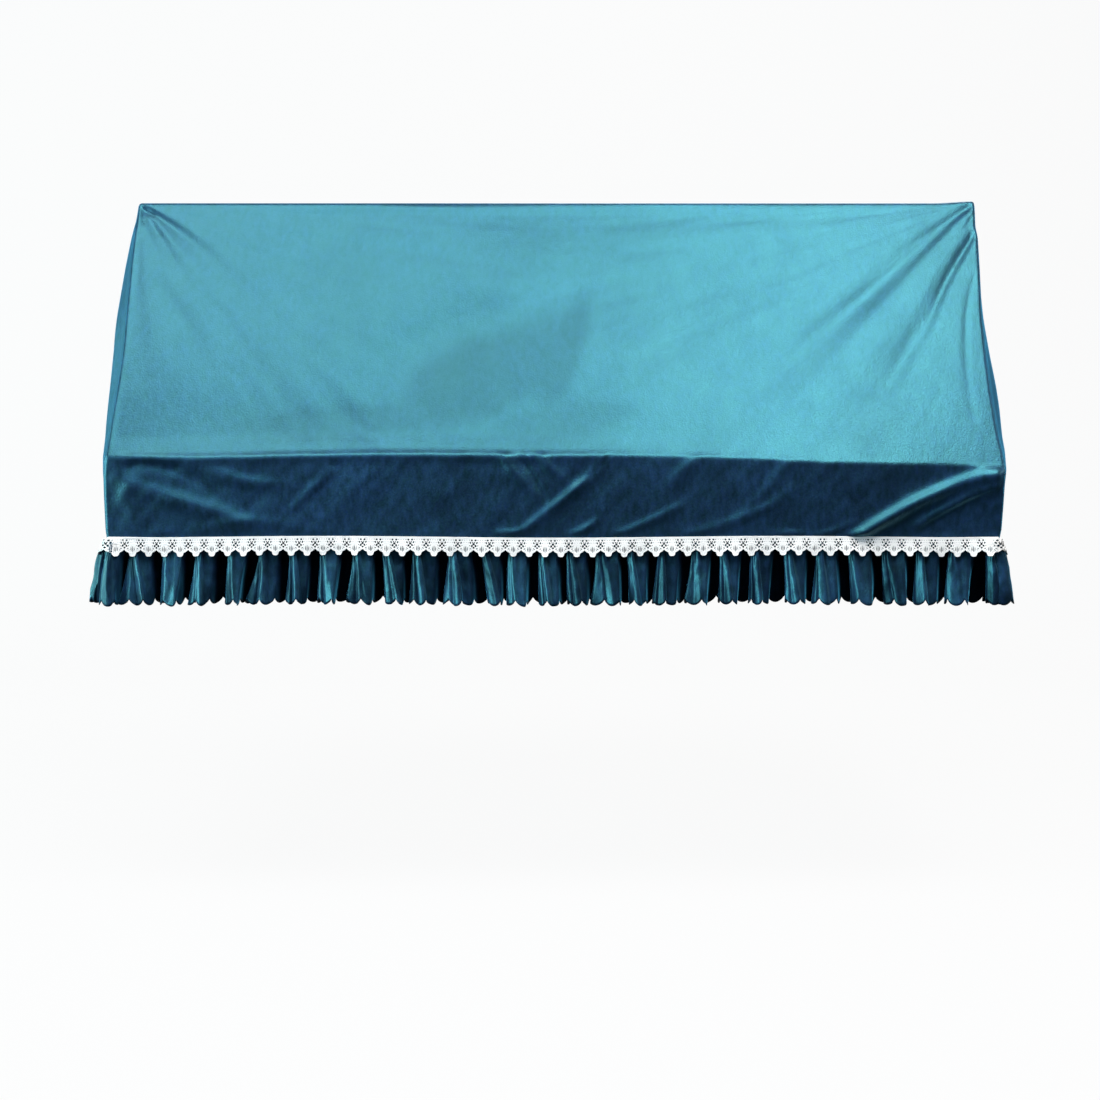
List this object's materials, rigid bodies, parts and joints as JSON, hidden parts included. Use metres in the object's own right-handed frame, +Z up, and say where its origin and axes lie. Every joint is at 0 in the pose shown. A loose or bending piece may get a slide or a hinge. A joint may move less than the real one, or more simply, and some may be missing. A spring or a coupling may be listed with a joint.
{
  "type": "upright piano half cover",
  "caption": "Fitted velvet hood for an upright piano's top and sloping front, with side panels, a lace band and a gathered scalloped ruffle.",
  "frame": {"origin": "middle of the underside of the top panel, where the hood bears on the piano's lid", "axes": "+X to the right along the keyboard, +Y to the back, +Z up; the keyboard side faces -Y"},
  "size_m": [1.5794, 0.6422, 0.7038],
  "materials": {
    "teal_velvet": "short crushed pile, dark teal blue",
    "white_cotton_lace": "thick white cotton lace, matte"
  },
  "bodies": {
    "root": {"body_panel": "teal_velvet", "side_panel_left": "teal_velvet", "side_panel_right": "teal_velvet", "ruffle_front": "teal_velvet", "ruffle_left": "teal_velvet", "ruffle_right": "teal_velvet", "lace_front": "white_cotton_lace", "lace_left": "white_cotton_lace", "lace_right": "white_cotton_lace"}
  },
  "joints": []
}
